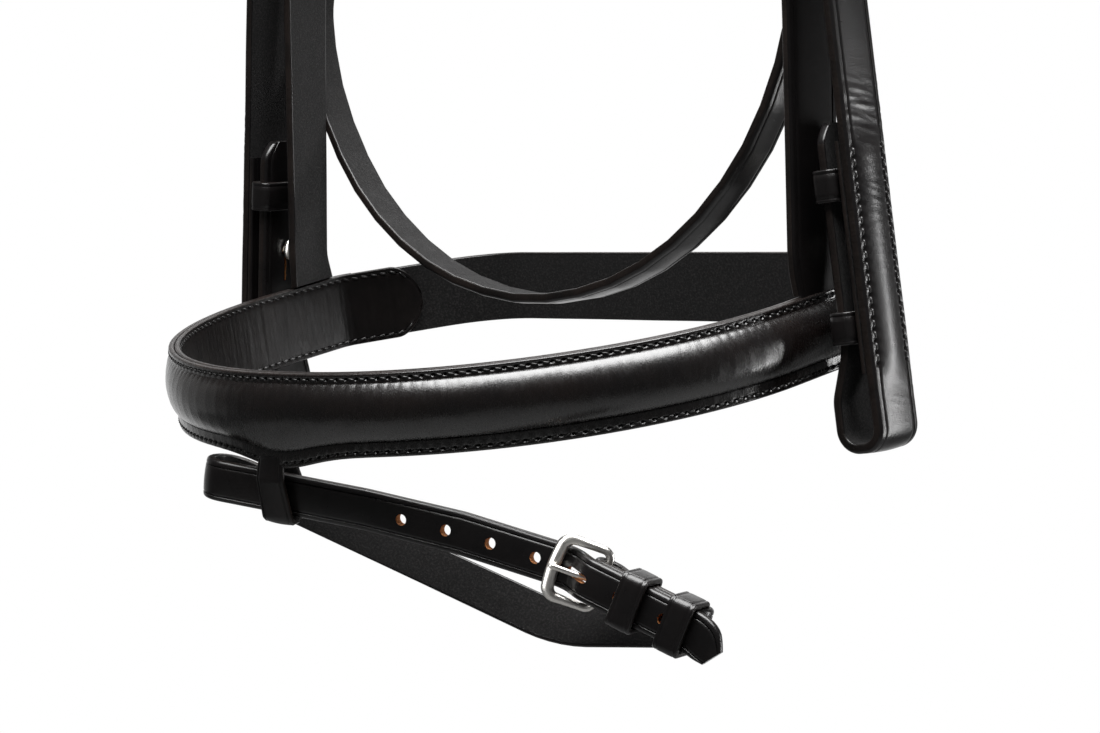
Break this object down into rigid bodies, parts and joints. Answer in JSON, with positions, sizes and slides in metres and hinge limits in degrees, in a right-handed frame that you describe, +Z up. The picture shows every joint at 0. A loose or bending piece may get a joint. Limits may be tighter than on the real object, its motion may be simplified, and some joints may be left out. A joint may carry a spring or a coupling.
{
  "type": "bridle",
  "caption": "Flash noseband bridle in black leather: padded noseband with a flash strap, hook-stud cheekpieces, headpiece, browband and throatlash, with nickel buckles.",
  "frame": {"origin": "the poll seat: the middle of the underside of the noseband's head strap, where the bridle hangs on the horse's poll", "axes": "+Z up, -Y towards the horse's nose, +X to the horse's left (near) side"},
  "size_m": [0.2758, 0.1956, 0.5168],
  "materials": {
    "black_leather": "satin black bridle leather",
    "flesh_leather": "matt black flesh side",
    "nickel": "polished nickel plate",
    "padding": "felt padding"
  },
  "bodies": {
    "bridle": {"headpiece": "black_leather", "browband": "black_leather", "noseband_head_strap": "black_leather", "noseband_short_strap": "black_leather", "noseband_face": "black_leather", "flash_loop": "black_leather", "throatlash": "black_leather", "chin_chape": "black_leather", "chin_fixed_keeper": "black_leather", "noseband_fixed_keeper": "black_leather", "cheekpiece_left": "black_leather", "cheek_backing_left": "black_leather", "cheek_lower_keeper_left": "black_leather", "cheek_upper_keeper_left": "black_leather", "cheek_left_fixed_keeper": "black_leather", "throat_left_fixed_keeper": "black_leather", "cheekpiece_right": "black_leather", "cheek_backing_right": "black_leather", "cheek_lower_keeper_right": "black_leather", "cheek_upper_keeper_right": "black_leather", "cheek_right_fixed_keeper": "black_leather", "throat_right_fixed_keeper": "black_leather", "noseband_lining": "flesh_leather", "chin_strap": "flesh_leather", "hook_stud_left": "nickel", "hook_stud_right": "nickel", "noseband_core": "padding"},
    "flash": {"flash_strap": "black_leather", "flash_fixed_keeper": "black_leather"},
    "noseband_buckle": {"noseband_buckle_frame": "nickel"},
    "noseband_buckle_pin": {"noseband_buckle_tongue": "nickel"},
    "noseband_runner_loop": {"noseband_runner": "black_leather"},
    "chin_buckle": {"chin_buckle_frame": "nickel"},
    "chin_buckle_pin": {"chin_buckle_tongue": "nickel"},
    "chin_runner_loop": {"chin_runner": "black_leather"},
    "flash_buckle": {"flash_buckle_frame": "nickel"},
    "flash_buckle_pin": {"flash_buckle_tongue": "nickel"},
    "flash_runner_loop": {"flash_runner": "black_leather"},
    "cheek_buckle_left": {"cheek_buckle_left_frame": "nickel"},
    "cheek_buckle_left_pin": {"cheek_buckle_left_tongue": "nickel"},
    "cheek_left_runner_loop": {"cheek_left_runner": "black_leather"},
    "cheek_buckle_right": {"cheek_buckle_right_frame": "nickel"},
    "cheek_buckle_right_pin": {"cheek_buckle_right_tongue": "nickel"},
    "cheek_right_runner_loop": {"cheek_right_runner": "black_leather"},
    "throat_buckle_left": {"throat_buckle_left_frame": "nickel"},
    "throat_buckle_left_pin": {"throat_buckle_left_tongue": "nickel"},
    "throat_left_runner_loop": {"throat_left_runner": "black_leather"},
    "throat_buckle_right": {"throat_buckle_right_frame": "nickel"},
    "throat_buckle_right_pin": {"throat_buckle_right_tongue": "nickel"},
    "throat_right_runner_loop": {"throat_right_runner": "black_leather"}
  },
  "joints": [
    {"name": "flash_strap_slide", "type": "slide", "parent": "bridle", "child": "flash", "axis": [0.953, 0.2733, -0.1305], "range_m": [-0.003, 0.003]},
    {"name": "noseband_buckle_hinge", "type": "hinge", "parent": "bridle", "child": "noseband_buckle", "pos_m": [0.10288, 0.01466, -0.2721], "axis": [0, 0.9986, 0.0538], "range_deg": [0, 3]},
    {"name": "noseband_buckle_tongue_hinge", "type": "hinge", "parent": "noseband_buckle", "child": "noseband_buckle_pin", "pos_m": [0.10288, 0.01466, -0.2721], "axis": [0, 0.9986, 0.0538], "range_deg": [0, 3]},
    {"name": "noseband_runner_slide", "type": "slide", "parent": "bridle", "child": "noseband_runner_loop", "axis": [0.0675, 0.0537, -0.9963], "range_m": [-0.003, 0.003]},
    {"name": "chin_buckle_hinge", "type": "hinge", "parent": "bridle", "child": "chin_buckle", "pos_m": [0.09135, 0.06498, -0.40872], "axis": [0, 0.1942, -0.981], "range_deg": [0, 3]},
    {"name": "chin_buckle_tongue_hinge", "type": "hinge", "parent": "chin_buckle", "child": "chin_buckle_pin", "pos_m": [0.09135, 0.06498, -0.40872], "axis": [0, 0.1942, -0.981], "range_deg": [0, 3]},
    {"name": "chin_runner_slide", "type": "slide", "parent": "bridle", "child": "chin_runner_loop", "axis": [0.5735, -0.8036, -0.1591], "range_m": [-0.001, 0.002]},
    {"name": "flash_buckle_hinge", "type": "hinge", "parent": "flash", "child": "flash_buckle", "pos_m": [0.09215, -0.06213, -0.48879], "axis": [0.3679, 0.1055, 0.9239], "range_deg": [0, 3]},
    {"name": "flash_buckle_tongue_hinge", "type": "hinge", "parent": "flash_buckle", "child": "flash_buckle_pin", "pos_m": [0.09215, -0.06213, -0.48879], "axis": [0.3679, 0.1055, 0.9239], "range_deg": [0, 3]},
    {"name": "flash_runner_slide", "type": "slide", "parent": "flash", "child": "flash_runner_loop", "axis": [0.8881, 0.2547, -0.3827], "range_m": [-0.003, 0.0005]},
    {"name": "cheek_buckle_left_hinge", "type": "hinge", "parent": "bridle", "child": "cheek_buckle_left", "pos_m": [0.10995, 0.00771, -0.21516], "axis": [0, 0.9977, 0.0684], "range_deg": [0, 3]},
    {"name": "cheek_buckle_left_tongue_hinge", "type": "hinge", "parent": "cheek_buckle_left", "child": "cheek_buckle_left_pin", "pos_m": [0.10995, 0.00771, -0.21516], "axis": [0, 0.9977, 0.0684], "range_deg": [0, 3]},
    {"name": "cheek_left_runner_slide", "type": "slide", "parent": "bridle", "child": "cheek_left_runner_loop", "axis": [0.1003, 0.0681, -0.9926], "range_m": [-0.003, 0.003]},
    {"name": "cheek_buckle_right_hinge", "type": "hinge", "parent": "bridle", "child": "cheek_buckle_right", "pos_m": [-0.10995, 0.00771, -0.21516], "axis": [0, -0.9977, -0.0684], "range_deg": [0, 3]},
    {"name": "cheek_buckle_right_tongue_hinge", "type": "hinge", "parent": "cheek_buckle_right", "child": "cheek_buckle_right_pin", "pos_m": [-0.10995, 0.00771, -0.21516], "axis": [0, -0.9977, -0.0684], "range_deg": [0, 3]},
    {"name": "cheek_right_runner_slide", "type": "slide", "parent": "bridle", "child": "cheek_right_runner_loop", "axis": [-0.1003, 0.0681, -0.9926], "range_m": [-0.003, 0.003]},
    {"name": "throat_buckle_left_hinge", "type": "hinge", "parent": "bridle", "child": "throat_buckle_left", "pos_m": [0.10295, 0.038, -0.21491], "axis": [0, 1, 0], "range_deg": [0, 3]},
    {"name": "throat_buckle_left_tongue_hinge", "type": "hinge", "parent": "throat_buckle_left", "child": "throat_buckle_left_pin", "pos_m": [0.10295, 0.038, -0.21491], "axis": [0, 1, 0], "range_deg": [0, 3]},
    {"name": "throat_left_runner_slide", "type": "slide", "parent": "bridle", "child": "throat_left_runner_loop", "axis": [-0.0555, 0, -0.9985], "range_m": [-0.003, 0.003]},
    {"name": "throat_buckle_right_hinge", "type": "hinge", "parent": "bridle", "child": "throat_buckle_right", "pos_m": [-0.10295, 0.038, -0.21506], "axis": [0, -1, 0], "range_deg": [0, 3]},
    {"name": "throat_buckle_right_tongue_hinge", "type": "hinge", "parent": "throat_buckle_right", "child": "throat_buckle_right_pin", "pos_m": [-0.10295, 0.038, -0.21506], "axis": [0, -1, 0], "range_deg": [0, 3]},
    {"name": "throat_right_runner_slide", "type": "slide", "parent": "bridle", "child": "throat_right_runner_loop", "axis": [-0.0375, 0, -0.9993], "range_m": [-0.003, 0.003]}
  ]
}
